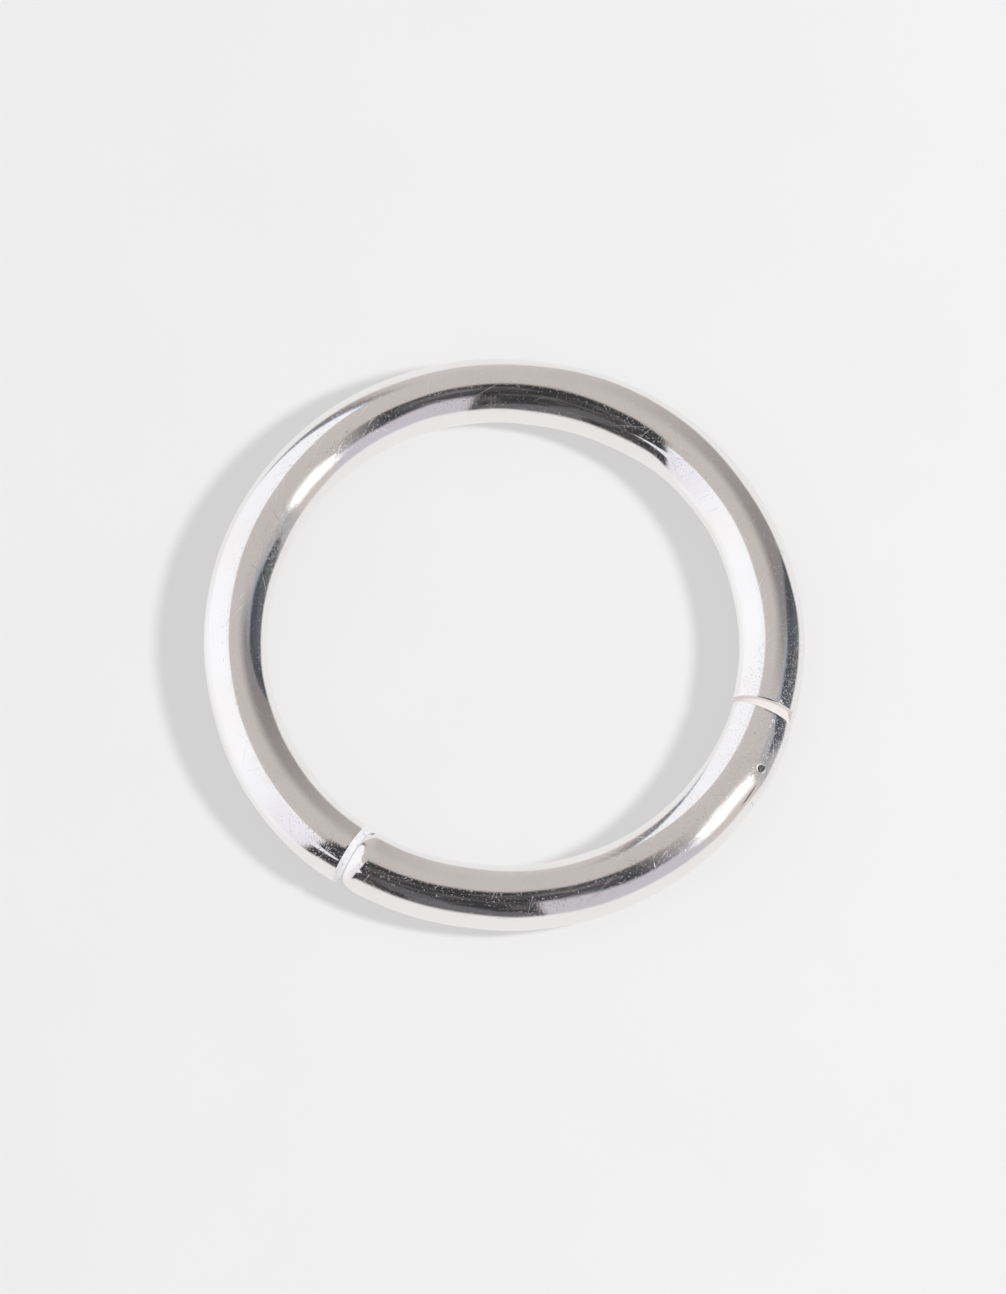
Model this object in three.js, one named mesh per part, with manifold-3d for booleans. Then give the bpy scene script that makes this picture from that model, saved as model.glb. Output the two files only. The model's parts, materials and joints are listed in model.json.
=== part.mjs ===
// A clicker ring for a piercing: a ring of round silver wire whose short gate swings outward
// on a pin and snaps shut over a small tongue. It lies flat and closed.
// Millimetres and degrees, +Z up. The origin is on the surface the ring lies on, under the
// middle of its hole. Angles run anticlockwise from +X, seen from above.

import * as THREE from 'three';
import { mergeVertices } from 'three/addons/utils/BufferGeometryUtils.js';
import Module from 'manifold-3d';

const wasm = await Module();
wasm.setup();

// The wire and the ring it is bent to
const wireDiameter = 1.3;
const innerDiameter = 9.5;
const wireRadius = wireDiameter / 2;
const ringRadius = innerDiameter / 2 + wireRadius;

// The two seams between the body and the gate. A seam leans by so many degrees for each
// millimetre outward, and its gap is the clearance along the wire. A rim is bevelled in one
// step or rounded in several.
const hingeSeam = { angle: 345.1, lean: -0.2, gap: 0.03 };
const catchSeam = { angle: 236.8, lean: 0, gap: 0.05 };
const sharpRim = { size: 0.02, steps: 1 };
const bevelledRim = { size: 0.15, steps: 1 };
const roundedRim = { size: 0.18, steps: 3 };

// The hinge: a flat tongue on the body between the two cheeks of the gate's fork
const hingeTongue = { thickness: 0.46, end: 325.4, root: 349.2, filedBy: 0.02 };
const hingeSlot = { height: 0.52, floor: 324.3 };
const pin = { angle: 331.4, outward: 0.475, radius: 0.1, fitGap: 0.01, runningGap: 0.015 };

// Round the pin the fork and its tongue swell on their outer side: they swell from their start,
// stay full from one angle to another and are plain round wire again at their end
const swell = { by: 0.05, start: 324, full: 330, fullTo: 339, end: 344.5 };

// The catch: a small tongue on the body in a slot that opens on the gate's inner side
const catchTongue = { thickness: 0.3, length: 0.5, inner: -0.42, outer: 0.2 };
const catchSlot = { height: 0.36, depth: 0.62, outer: 0.27 };

// How finely round things are cut into flats
const wireSides = 24;
const stepDegrees = 3.5;
const pinSides = 24;

// Cutting shapes run this far past what they cut
const overrun = 1;

const silver = { color: 0xdcdbdd, roughness: 0.1, metalness: 1 };
const groundSilver = { color: 0xb9b6b4, roughness: 0.25, metalness: 1 };

const radians = THREE.MathUtils.degToRad;

/** The angle, in degrees, that a length along the middle of the wire takes up. */
function degreesFor(length) {
  return THREE.MathUtils.radToDeg(length / ringRadius);
}

/** The angle of a seam's middle line, shifted along the wire by a signed length. */
function besideSeam(seam, shift) {
  return seam.angle + degreesFor(shift);
}

/** A closed geometry as a solid that can be joined and cut. */
function asSolid(geometry) {
  const bare = geometry.clone();
  bare.deleteAttribute('normal');
  bare.deleteAttribute('uv');
  const merged = mergeVertices(bare);
  const corners = Array.from(merged.index.array);
  const triangles = [];
  for (let i = 0; i < corners.length; i += 3) {
    const [a, b, c] = corners.slice(i, i + 3);
    if (a !== b && b !== c && c !== a) triangles.push(a, b, c);
  }
  return new wasm.Manifold(new wasm.Mesh({
    numProp: 3,
    vertProperties: new Float32Array(merged.attributes.position.array),
    triVerts: new Uint32Array(triangles),
  }));
}

/** A solid as a named mesh in its own material. */
function asMesh(name, solid, finish) {
  const { vertProperties, triVerts } = solid.getMesh();
  const geometry = new THREE.BufferGeometry();
  geometry.setAttribute('position', new THREE.BufferAttribute(vertProperties, 3));
  geometry.setIndex(new THREE.BufferAttribute(triVerts, 1));
  geometry.computeVertexNormals();
  const mesh = new THREE.Mesh(geometry, new THREE.MeshStandardMaterial(finish));
  mesh.name = name;
  return mesh;
}

/** The profile of a bar's rim, from the end face out to the side. */
function rimProfile({ size, steps }, corner) {
  const points = [];
  for (let step = 0; step <= steps; step += 1) {
    const turn = (step / steps) * (Math.PI / 2);
    const inset = size * (1 - Math.sin(turn));
    points.push(new THREE.Vector2(corner - inset, size * (1 - Math.cos(turn))));
  }
  return points;
}

/** A straight round bar along +Y with its two rims cut, one flat of it facing straight down. */
function straightBar(radius, length, startRim, endRim) {
  const corner = radius / Math.cos(Math.PI / wireSides);
  const sideStart = startRim.size;
  const sideEnd = length - endRim.size;
  const steps = Math.ceil(degreesFor(length) / stepDegrees);
  const profile = [new THREE.Vector2(0, 0), ...rimProfile(startRim, corner)];
  for (let step = 1; step < steps; step += 1) {
    profile.push(new THREE.Vector2(corner, THREE.MathUtils.lerp(sideStart, sideEnd, step / steps)));
  }
  for (const point of rimProfile(endRim, corner).reverse()) {
    profile.push(new THREE.Vector2(point.x, length - point.y));
  }
  profile.push(new THREE.Vector2(0, length));
  return new THREE.LatheGeometry(profile, wireSides, Math.PI / wireSides);
}

/** Wire bent round the ring from one angle to another, its end faces leaning as given. */
function bentWire({ from, to, startLean = 0, endLean = 0, startRim, endRim, radius = wireRadius,
  swellAt = () => 0 }) {
  const length = radians(to - from) * ringRadius;
  const bar = straightBar(radius, length, startRim, endRim);
  const points = bar.attributes.position;
  for (let i = 0; i < points.count; i += 1) {
    const share = points.getY(i) / length;
    const middle = THREE.MathUtils.lerp(from, to, share);
    const across = points.getX(i);
    const outward = across + Math.max(across, 0) * (swellAt(middle) / radius);
    const angle = radians(middle + THREE.MathUtils.lerp(startLean, endLean, share) * outward);
    const reach = ringRadius + outward;
    points.setXYZ(i, reach * Math.cos(angle), reach * Math.sin(angle), wireRadius + points.getZ(i));
  }
  return asSolid(bar);
}

/** A level plate along the wire's middle, between two angles and two offsets from the middle. */
function levelPlate({ from, to, inner, outer, thickness }) {
  const outline = new THREE.Shape();
  outline.absarc(0, 0, ringRadius + outer, radians(from), radians(to), false);
  outline.absarc(0, 0, ringRadius + inner, radians(to), radians(from), true);
  const plate = new THREE.ExtrudeGeometry(outline, { depth: thickness, bevelEnabled: false });
  plate.translate(0, 0, wireRadius - thickness / 2);
  return asSolid(plate);
}

/** An upright round rod through the hinge. */
function hingeRod(radius) {
  const rod = new THREE.CylinderGeometry(radius, radius, wireDiameter + 2 * overrun, pinSides);
  rod.rotateX(Math.PI / 2);
  const reach = ringRadius + pin.outward;
  const angle = radians(pin.angle);
  rod.translate(reach * Math.cos(angle), reach * Math.sin(angle), wireRadius);
  return asSolid(rod);
}

/** How much further than the wire's own radius the hinge stands out, at an angle. */
function hingeSwell(angle) {
  const rise = THREE.MathUtils.smoothstep(angle, swell.start, swell.full);
  const fall = THREE.MathUtils.smoothstep(angle, swell.fullTo, swell.end);
  return swell.by * (rise - fall);
}

/** The gate's wire, before its slots and its pin hole. */
function gateWire() {
  return bentWire({
    from: besideSeam(catchSeam, catchSeam.gap / 2),
    to: besideSeam(hingeSeam, -hingeSeam.gap / 2),
    startLean: catchSeam.lean,
    endLean: hingeSeam.lean,
    startRim: roundedRim,
    endRim: bevelledRim,
    swellAt: hingeSwell,
  });
}

/** The flat tongue that the gate hinges on, with the hole that runs on the pin. */
function makeHingeTongue() {
  const filed = bentWire({
    from: hingeTongue.end - stepDegrees,
    to: hingeTongue.root + stepDegrees,
    startRim: sharpRim,
    endRim: sharpRim,
    radius: wireRadius - hingeTongue.filedBy,
    swellAt: hingeSwell,
  });
  const slice = levelPlate({
    from: hingeTongue.end,
    to: hingeTongue.root,
    inner: -overrun,
    outer: overrun,
    thickness: hingeTongue.thickness,
  });
  return filed.intersect(slice).subtract(hingeRod(pin.radius + pin.runningGap));
}

/** The small tongue that the gate snaps shut over. */
function makeCatchTongue() {
  const face = besideSeam(catchSeam, -catchSeam.gap / 2);
  return levelPlate({
    from: face - degreesFor(catchTongue.length),
    to: face + degreesFor(catchTongue.length),
    inner: catchTongue.inner,
    outer: catchTongue.outer,
    thickness: catchTongue.thickness,
  });
}

function makeRingBody() {
  const wire = bentWire({
    from: besideSeam(hingeSeam, hingeSeam.gap / 2),
    to: besideSeam(catchSeam, -catchSeam.gap / 2) + 360,
    startLean: hingeSeam.lean,
    endLean: catchSeam.lean,
    startRim: sharpRim,
    endRim: roundedRim,
  });
  return asMesh('ring_body', wire.add(makeHingeTongue()).add(makeCatchTongue()), silver);
}

function makeGate() {
  const slotForHinge = levelPlate({
    from: hingeSlot.floor,
    to: hingeTongue.root,
    inner: -overrun,
    outer: overrun,
    thickness: hingeSlot.height,
  });
  const slotForCatch = levelPlate({
    from: catchSeam.angle - degreesFor(overrun),
    to: catchSeam.angle + degreesFor(catchSlot.depth),
    inner: -overrun,
    outer: catchSlot.outer,
    thickness: catchSlot.height,
  });
  const drilled = gateWire().subtract(hingeRod(pin.radius + pin.fitGap));
  return asMesh('gate', drilled.subtract(slotForHinge).subtract(slotForCatch), silver);
}

/** The rivet, its two ends ground flush with the gate. */
function makeHingePin() {
  return asMesh('hinge_pin', hingeRod(pin.radius).intersect(gateWire()), groundSilver);
}

const clickerRing = new THREE.Group();
clickerRing.name = 'clicker_ring';
clickerRing.add(makeRingBody(), makeGate(), makeHingePin());

export default clickerRing;
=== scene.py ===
"""A silver clicker ring lying closed on pale paper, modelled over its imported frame.

Lengths are metres, +Z is up, and the origin is on the paper under the middle of the ring's hole.
Angles round the ring run anticlockwise from +X, seen from above.
"""

import json
import math
from collections import namedtuple

import bmesh
import bpy
from bpy.props import FloatProperty, FloatVectorProperty, IntProperty, PointerProperty
from mathutils import Matrix, Vector


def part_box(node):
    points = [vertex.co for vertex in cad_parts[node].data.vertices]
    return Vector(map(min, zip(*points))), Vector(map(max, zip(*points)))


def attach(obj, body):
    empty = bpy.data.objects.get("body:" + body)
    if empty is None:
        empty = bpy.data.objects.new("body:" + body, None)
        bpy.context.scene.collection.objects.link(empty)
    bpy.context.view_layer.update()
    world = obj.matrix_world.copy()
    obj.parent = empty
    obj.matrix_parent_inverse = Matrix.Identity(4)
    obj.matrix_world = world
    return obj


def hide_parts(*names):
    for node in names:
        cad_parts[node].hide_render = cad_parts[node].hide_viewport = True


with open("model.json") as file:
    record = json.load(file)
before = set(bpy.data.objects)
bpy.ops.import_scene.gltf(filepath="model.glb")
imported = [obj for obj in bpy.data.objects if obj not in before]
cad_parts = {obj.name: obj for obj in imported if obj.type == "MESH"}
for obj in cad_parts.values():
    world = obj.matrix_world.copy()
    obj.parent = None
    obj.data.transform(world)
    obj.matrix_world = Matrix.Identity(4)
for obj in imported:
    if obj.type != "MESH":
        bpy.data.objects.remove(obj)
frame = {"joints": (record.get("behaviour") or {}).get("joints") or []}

bl_info = {
    "name": "Clicker Ring",
    "version": (1, 0, 0),
    "blender": (4, 5, 0),
    "location": "View3D > Sidebar > Ring",
    "description": "Models a hinged silver ring round its packed frame and sets it on pale paper",
    "category": "Add Mesh",
}

MM = 0.001
UP = Vector((0.0, 0.0, 1.0))
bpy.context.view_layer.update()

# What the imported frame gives: the wire from the box of the body, the pin from the hinge joint
BODY_LOW, BODY_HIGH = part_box("ring_body")
WIRE_RADIUS = (BODY_HIGH.z - BODY_LOW.z) / 2
RING_RADIUS = -BODY_LOW.x - WIRE_RADIUS
HINGE = Vector(frame["joints"][0]["pos_m"])

# A seam between the body and the gate. It is turned from square by its lean.
Seam = namedtuple("Seam", "angle lean gap")

# The end of a wire at a seam: which side of the seam the wire is on, how far along the wire and
# how deep its rim is cut, in how many steps, and how far the rim's edge is turned from the seam
WireEnd = namedtuple("WireEnd", "seam side rim depth steps turn", defaults=(0.0,))

# Wires are spun this far past their seams before they are cut back, and cutting shapes reach far
# past what they cut. Flat ends are inset a little, so that their shading stays flat. What is within
# a hair of a plane counts as on it, and a cut merges only points that are closer than a speck.
SPARE = math.radians(4)
CUTTER_REACH = 3 * MM
END_INSET = 0.01 * MM
HAIR = 0.001 * MM
SPECK = 1e-9

# How finely the upright rods and the nicks' round cutters are made, and how sharply an edge turns
# before it shows as one
ROD_SIDES = 48
NICK_SIDES = 16
SHARP_EDGE = math.radians(35)

# The hinge's small fits: the pin's clearance in the gate and in the tongue, how much less wide the
# tongue is filed, the pin's chamfer, and how far and towards which azimuth its two ends slope
PIN_CLEARANCE = 0.004 * MM
TONGUE_CLEARANCE = 0.015 * MM
TONGUE_FILED = 0.012 * MM
PIN_CHAMFER = 0.02 * MM
PIN_SLOPE, PIN_SLOPE_AZIMUTH = math.radians(15), math.radians(264)

# Where the hinge's swelling starts, is full, begins to fall and ends, in degrees round the ring
SWELL = (322, 331, 339, 344.5)

# The catch: how far outward of the wire's middle its tongue and its slot reach, how round the
# tongue's edges are, and how deep the two rims at the seam are cut, as shares of their lengths
CATCH_TONGUE_INNER, CATCH_TONGUE_OUTER = -0.42 * MM, 0.2 * MM
CATCH_SLOT_OUTER = 0.27 * MM
CATCH_TONGUE_ROUND = 0.04 * MM
BODY_RIM_DEPTH, GATE_RIM_DEPTH = 0.5, 0.36

# Faces count as filed from some slope along the wire: on a filed rim, on the bevel, or on an end
# face alone. So do level faces this close to the wire's middle, which are a slot's or a tongue's.
# The bevel is looked for this near the hinge's seam.
RIM_SLOPE, BEVEL_SLOPE, END_SLOPE = 0.12, 0.2, 0.8
SLOT_REACH = 0.27 * MM
BEVEL_REACH = math.radians(6)

# Hand work leaves the wire a little uneven. By azimuth in degrees, its outer side stands out so
# many hundredths of a millimetre, and its inner side across the ring falls short by the same.
Unevenness = namedtuple("Unevenness", "azimuth growth")
UNEVENNESS = (
    Unevenness(3, 1.2),
    Unevenness(20, -1.6),
    Unevenness(32, -2.4),
    Unevenness(50, 0.2),
    Unevenness(66, 0.0),
    Unevenness(84, -3.0),
    Unevenness(102, 0.2),
    Unevenness(124, 3.0),
    Unevenness(156, 1.2),
    Unevenness(176, -0.8),
    Unevenness(192, -2.4),
    Unevenness(212, 2.2),
    Unevenness(228, 3.6),
    Unevenness(245, -1.8),
    Unevenness(262, -2.8),
    Unevenness(275, 0.5),
    Unevenness(292, 3.6),
    Unevenness(312, 4.4),
    Unevenness(326, 3.0),
    Unevenness(340, 0.4),
)

# Nicks in the metal at the hinge: degrees round the ring, millimetres outward of the middle of
# the wire, and the radius in millimetres of the round cutter
Nick = namedtuple("Nick", "angle outward size")
BODY_NICKS = (Nick(345.6, 0.36, 0.07),)
GATE_NICKS = (
    Nick(343.2, -0.52, 0.05),
    Nick(341.2, 0.31, 0.045),
    Nick(341.0, -0.56, 0.05),
    Nick(339.9, 0.29, 0.03),
    Nick(338.3, -0.51, 0.04),
    Nick(336.8, 0.39, 0.03),
    Nick(335.8, -0.55, 0.055),
    Nick(333.9, 0.49, 0.04),
    Nick(332.5, -0.57, 0.045),
    Nick(329.5, -0.59, 0.04),
)
# The middle of a nick's round cutter is above the metal by this share of its size
NICK_LIFT = 0.6

# Where the metal is scuffed, along the straightened wire in millimetres: at the hinge's end and
# on the inner side at the upper left. Scratches run at an angle and start past a threshold.
HINGE_END = -6.9
ROUGH_INSIDE = 9.1
SCRATCHES = ((24, 0.72), (-38, 0.73), (68, 0.74))

# Brown grime and painted shade, in millimetres of straightened wire: dark spots that stand in for
# the shade in the seam's gap on the body's edge at the hinge, in the slot's end beside it, and in the
# notch of the catch. Length and width are counted from the middle.
GrimeAndShade = namedtuple("GrimeAndShade", "along length outward width")
GRIME_AND_SHADE = (
    GrimeAndShade(-6.755, 0.03, 0.07, 0.24),
    GrimeAndShade(-8.58, 0.3, 0.553, 0.014),
    GrimeAndShade(-16.9, 0.07, -0.5, 0.09),
)
# Over 1, so that the painted grime and shade hides the metal all over the middle of its spot
GRIME_AND_SHADE_COVER = 1.6

# The colour of filed metal away from the hinge, and of the smudges on it
FILED_GREY, SMUDGE_GREY = (0.96, 0.96, 0.97), (0.5, 0.5, 0.52)

# What the polished metal mirrors, charted by the slope of the metal that shows it to the camera:
# azimuth is where the metal faces and tilt is how far it leans from level, both in degrees.
# Left and right are the azimuths of the side edges (high up, low down), which lean between the
# two tilts of lean. Top and bottom are lines of azimuth and tilt, or plain tilts. Soft is how
# blurred the edges are (left, right, top, bottom), share is how much of the panel shows, grain is
# how far streaks break it up and glow multiplies its light.
Mirrored = namedtuple("Mirrored", "name colour left right lean top bottom soft share grain glow")
ROOM = (193, 186, 183)
DIM_SKY, BRIGHT_SKY = (146, 146, 150), (255, 254, 254)
PAPER_EDGE = ((3, 53), (12, 48), (21, 44.5), (30, 41.5), (39, 40), (57, 41), (75, 40), (93, 36),
              (108, 35), (120, 38), (129, 41), (138, 45), (147, 50), (160, 54), (174, 58),
              (183, 60), (210, 61.5), (228, 58), (237, 52.5), (255, 53), (273, 54), (291, 55),
              (309, 57), (322, 60), (336, 59), (345, 56), (354, 55))
MIRRORED = (
    Mirrored("dusk", (136, 132, 131), (-8, -8), (48, 48), (0, 90), 11, 95,
             (20, 74, 18, 4), 1.0, 0.0, 1.0),
    Mirrored("pale_wall", (201, 194, 193), (82, 78), (108, 108), (10, 40), 24, 95,
             (30, 16, 22, 4), 0.8, 0.0, 1.0),
    Mirrored("window_frame", (104, 99, 101), (113, 124), (140, 150), (20, 38),
             ((105, 20), (114, 19), (121, 21), (130, 29), (140, 37)), 62, (16, 4, 9, 4), 0.85, 0.0, 1.0),
    Mirrored("sky_rim", (150, 168, 184), (117, 137), (127, 147), (18, 42), 19, 50,
             (5, 5, 5, 8), 0.75, 0.0, 1.0),
    Mirrored("window", (243, 243, 246), (120, 141), (231, 225), (19, 43),
             ((119, 19), (129, 16), (138, 13.5), (147, 11.5), (165, 11), (183, 12.5), (192, 14.8),
              (210, 18), (219, 19.5), (231, 22)), 120, (1.6, 2, 1.8, 4), 1.0, 0.0, 1.0),
    Mirrored("window_light", (249, 249, 251), (163, 163), (209, 209), (20, 50), 18, 90,
             (40, 14, 10, 4), 1.0, 0.0, 1.0),
    Mirrored("curtain", (233, 232, 238), (217, 217), (232, 227), (20, 58), 22, 90,
             (7, 2, 6, 4), 0.9, 0.0, 1.0),
    Mirrored("dark_cloth", (54, 54, 56), (232, 228), (276.5, 277.5), (18, 58),
             ((230, 15), (237, 12), (246, 10), (255, 8), (264, 7), (277, 7.5)), 95,
             (1.6, 1.2, 5, 4), 1.0, 0.18, 1.0),
    Mirrored("cloth_shine", (96, 96, 98), (242, 246), (256, 262), (30, 46),
             ((240, 34), (250, 32), (262, 38)), ((240, 42), (262, 47)), (4, 3, 3, 3), 0.9, 0.3, 1.0),
    Mirrored("cloth_fold", (107, 107, 109), (252, 250), (276, 276.5), (38, 54),
             ((250, 43), (256, 39), (266, 42), (277, 46)), 95, (2, 1.5, 4, 4), 0.9, 0.35, 1.0),
    Mirrored("lilac_screen", (194, 190, 197), (277, 278), (316, 320), (25, 58),
             ((277, 22), (291, 24), (300, 25), (309, 27), (320, 32)), 95, (1.2, 6, 6, 4), 1.0, 0.0, 1.0),
    Mirrored("dark_edge", (58, 60, 64), (274, 276), (304, 306), (10, 25),
             ((273, 6.5), (282, 8), (291, 10), (300, 11.5), (309, 14)),
             ((273, 28), (282, 28), (291, 31), (300, 34), (309, 34)), (3, 18, 4, 7), 0.97, 0.25, 1.0),
    Mirrored("warm_wall", (201, 193, 188), (314, 314), (333, 333), (30, 60), 38, 95,
             (6, 6, 10, 4), 0.9, 0.2, 1.0),
    Mirrored("grey_wall", (160, 161, 165), (330, 328), (348, 346), (20, 50),
             ((328, 34), (337, 27), (348, 22)), 95, (5, 6, 8, 4), 0.85, 0.5, 1.0),
    Mirrored("cool_rim", (152, 160, 172), (343, 343), (361, 361), (20, 40),
             ((343, 24), (352, 22), (361, 23)), 95, (5, 8, 4, 4), 0.9, 0.55, 1.0),
    Mirrored("dark_wall", (78, 81, 87), (332, 338), (376, 377), (30, 50),
             ((331, 46), (338, 37), (345, 31), (353, 27), (2, 27), (10, 31), (16, 40)), 95,
             (5, 3, 5, 4), 1.0, 0.22, 1.0),
    Mirrored("dark_wall_foot", (103, 104, 106), (340, 340), (367, 367), (30, 50), 42, 95,
             (8, 8, 8, 4), 0.8, 0.3, 1.0),
    Mirrored("notch", (226, 227, 232), (226, 226), (241, 239), (33, 41),
             ((226, 31), (233, 34), (241, 36)), ((226, 45), (233, 39.5), (241, 36.5)),
             (2, 1.5, 1.2, 1.2), 1.0, 0.0, 1.0),
    Mirrored("paper", (232, 231, 230), (-400, -400), (400, 400), (0, 90), PAPER_EDGE, 200,
             (1, 1, 6, 4), 1.0, 0.0, 1.0),
    Mirrored("paper_light", (246, 246, 247), (172, 172), (222, 222), (50, 80), PAPER_EDGE, 72,
             (20, 12, 4, 14), 0.8, 0.0, 1.0),
    Mirrored("lamp_glare", (255, 254, 252), (311, 311), (328, 328), (20, 50),
             ((310, 36), (315, 26), (321, 23), (329, 26)), ((310, 38), (317, 43), (323, 43), (329, 34)),
             (6, 6, 12, 9), 1.0, 0.7, 1.15),
    Mirrored("lamp", (255, 255, 255), (315, 315), (324.5, 324.5), (20, 50), 30, 36,
             (6, 5, 9, 7), 1.0, 0.3, 3.5),
)

# How many degrees the edges of a panel fray, at full grain
FRAYING = 30

# The middle of the bright ceiling that lights the paper, a little towards the window
CEILING = Vector((-0.3, 0.0, 1.0)).normalized()

# The strength of the mirrored room and of the sky that lights the paper, the colour of the bare
# backdrop, and how near the ceiling's middle a direction is where the sky starts and is full
ROOM_LIGHT, SKY_LIGHT = 1.05, 1.18
BACKDROP = (238, 237, 237)
CEILING_START, CEILING_FULL = 0.35, 0.95

# The round lamp that casts the shadow, in metres, and the paper's side
LAMP_SIZE, LAMP_DISTANCE = 0.035, 0.25
PAPER_SIZE = 2.4


class RingSizes(bpy.types.PropertyGroup):
    """How big the ring is and how finely its wire is modelled."""

    wire_radius: FloatProperty(
        name="Wire radius",
        description="Half the thickness of the round wire",
        default=WIRE_RADIUS,
        unit="LENGTH",
        precision=6,
    )
    ring_radius: FloatProperty(
        name="Ring radius",
        description="From the middle of the hole to the middle of the wire",
        default=RING_RADIUS,
        unit="LENGTH",
        precision=6,
    )
    sides: IntProperty(
        name="Sides",
        description="Faces round the wire",
        default=96,
    )
    step: FloatProperty(
        name="Step",
        description="Angle between two rings of faces along the wire",
        default=math.radians(0.6),
        subtype="ANGLE",
    )


class HingeSizes(bpy.types.PropertyGroup):
    """The fork, the tongue and the pin at the right of the ring."""

    seam_angle: FloatProperty(
        name="Seam angle",
        description="Where the gate's fork meets the body",
        default=math.radians(345.1),
        subtype="ANGLE",
    )
    seam_lean: FloatProperty(
        name="Seam lean",
        description="How far the seam is turned from square to the wire",
        default=math.radians(-1.1),
        subtype="ANGLE",
    )
    seam_gap: FloatProperty(
        name="Seam gap",
        description="Clearance at the seam, along the wire",
        default=0.012 * MM,
        unit="LENGTH",
        precision=6,
    )
    body_rim: FloatProperty(
        name="Body rim",
        description="Size of the small round on the body's end",
        default=0.012 * MM,
        unit="LENGTH",
        precision=6,
    )
    bevel_length: FloatProperty(
        name="Bevel length",
        description="Length along the wire of the filed bevel on the gate's end",
        default=0.174 * MM,
        unit="LENGTH",
        precision=6,
    )
    bevel_depth: FloatProperty(
        name="Bevel depth",
        description="How deep the filed bevel cuts at the gate's end",
        default=0.1 * MM,
        unit="LENGTH",
        precision=6,
    )
    bevel_lean: FloatProperty(
        name="Bevel lean",
        description="How far the bevel's edge is turned from the seam, so that it widens outward",
        default=math.radians(-6.3),
        subtype="ANGLE",
    )
    swell: FloatProperty(
        name="Swell",
        description="How much further the fork stands out on its outer side than the wire",
        default=0.045 * MM,
        unit="LENGTH",
        precision=6,
    )
    slot_height: FloatProperty(
        name="Slot height",
        description="Height of the slot between the fork's two cheeks",
        default=0.5 * MM,
        unit="LENGTH",
        precision=6,
    )
    slot_floor: FloatProperty(
        name="Slot floor",
        description="Angle where the slot ends inside the gate",
        default=math.radians(325.1),
        subtype="ANGLE",
    )
    tongue_thickness: FloatProperty(
        name="Tongue thickness",
        description="Thickness of the body's flat tongue in the fork",
        default=0.46 * MM,
        unit="LENGTH",
        precision=6,
    )
    tongue_end: FloatProperty(
        name="Tongue end",
        description="Angle where the tongue ends",
        default=math.radians(325.4),
        subtype="ANGLE",
    )
    pin_radius: FloatProperty(
        name="Pin radius",
        description="Radius of the rivet that the gate swings on",
        default=0.088 * MM,
        unit="LENGTH",
        precision=6,
    )


class CatchSizes(bpy.types.PropertyGroup):
    """The small tongue that the gate snaps over, at the lower left of the ring."""

    seam_angle: FloatProperty(
        name="Seam angle",
        description="Where the gate's free end meets the body",
        default=math.radians(236.87),
        subtype="ANGLE",
    )
    seam_lean: FloatProperty(
        name="Seam lean",
        description="How far the seam is turned from square to the wire",
        default=math.radians(0.0),
        subtype="ANGLE",
    )
    seam_gap: FloatProperty(
        name="Seam gap",
        description="Clearance at the seam, along the wire",
        default=0.012 * MM,
        unit="LENGTH",
        precision=6,
    )
    body_rim: FloatProperty(
        name="Body rim",
        description="Size of the round on the body's end at the seam",
        default=0.17 * MM,
        unit="LENGTH",
        precision=6,
    )
    gate_rim: FloatProperty(
        name="Gate rim",
        description="Size of the round on the gate's end at the seam",
        default=0.34 * MM,
        unit="LENGTH",
        precision=6,
    )
    tongue_length: FloatProperty(
        name="Tongue length",
        description="How far the catch tongue stands out of the body",
        default=0.5 * MM,
        unit="LENGTH",
        precision=6,
    )
    tongue_thickness: FloatProperty(
        name="Tongue thickness",
        description="Thickness of the catch tongue",
        default=0.3 * MM,
        unit="LENGTH",
        precision=6,
    )
    slot_height: FloatProperty(
        name="Slot height",
        description="Height of the slot that takes the catch tongue",
        default=0.36 * MM,
        unit="LENGTH",
        precision=6,
    )
    slot_depth: FloatProperty(
        name="Slot depth",
        description="How deep the slot goes along the gate",
        default=0.62 * MM,
        unit="LENGTH",
        precision=6,
    )


class Finish(bpy.types.PropertyGroup):
    """Colours of the metal and the paper."""

    silver: FloatVectorProperty(
        name="Silver",
        description="Colour of the polished silver",
        default=(0.955, 0.945, 0.945),
        subtype="COLOR",
        size=3,
    )
    tarnish: FloatVectorProperty(
        name="Tarnish",
        description="Warm tint of the silver where it is least clean",
        default=(0.93, 0.905, 0.885),
        subtype="COLOR",
        size=3,
    )
    # Painted shade as well as grime: this dark brown also darkens the seam's gap, the slot's end and the
    # catch's notch
    grime_and_shade: FloatVectorProperty(
        name="GrimeAndShade",
        description="Dark brown of what has gathered at the seams",
        default=(0.11, 0.07, 0.05),
        subtype="COLOR",
        size=3,
    )
    satin: FloatVectorProperty(
        name="Satin",
        description="Colour of the metal where it is only filed",
        default=(0.97, 0.89, 0.86),
        subtype="COLOR",
        size=3,
    )
    paper: FloatVectorProperty(
        name="Paper",
        description="Colour of the paper under the ring",
        default=(0.84, 0.835, 0.835),
        subtype="COLOR",
        size=3,
    )


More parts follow.
